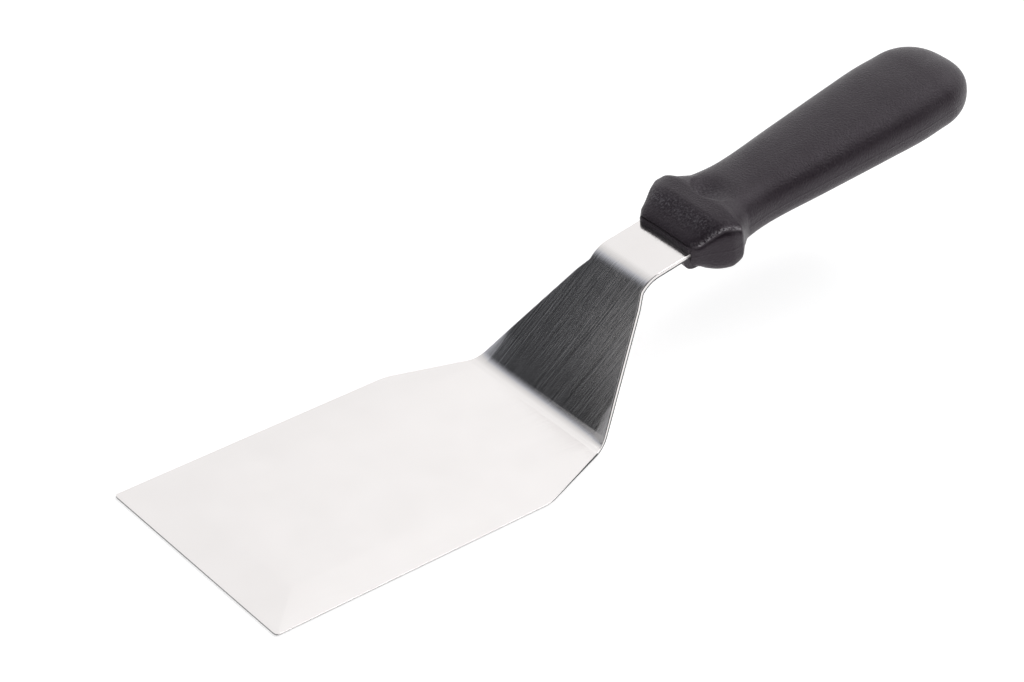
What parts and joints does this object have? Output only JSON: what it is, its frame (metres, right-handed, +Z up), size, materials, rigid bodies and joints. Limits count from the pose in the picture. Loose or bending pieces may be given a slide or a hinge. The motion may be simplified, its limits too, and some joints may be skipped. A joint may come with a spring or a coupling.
{
  "type": "offset spatula",
  "caption": "Cranked turner with a broad flat blade, a steep rise to a narrow neck, and a guarded plastic handle moulded on the tang.",
  "frame": {"origin": "on the plane that the blade rests on, halfway along the whole length and across the width", "axes": "+X from the blade's front edge towards the handle's butt, +Z up out of the blade, +Y to the left of someone holding it"},
  "size_m": [0.2854, 0.075, 0.0665],
  "materials": {
    "stainless_steel": "fine satin grind, brushed along the crank",
    "black_plastic": "fine spark-eroded grain with a soft sheen"
  },
  "bodies": {
    "root": {"blade": "stainless_steel", "handle": "black_plastic"}
  },
  "joints": []
}
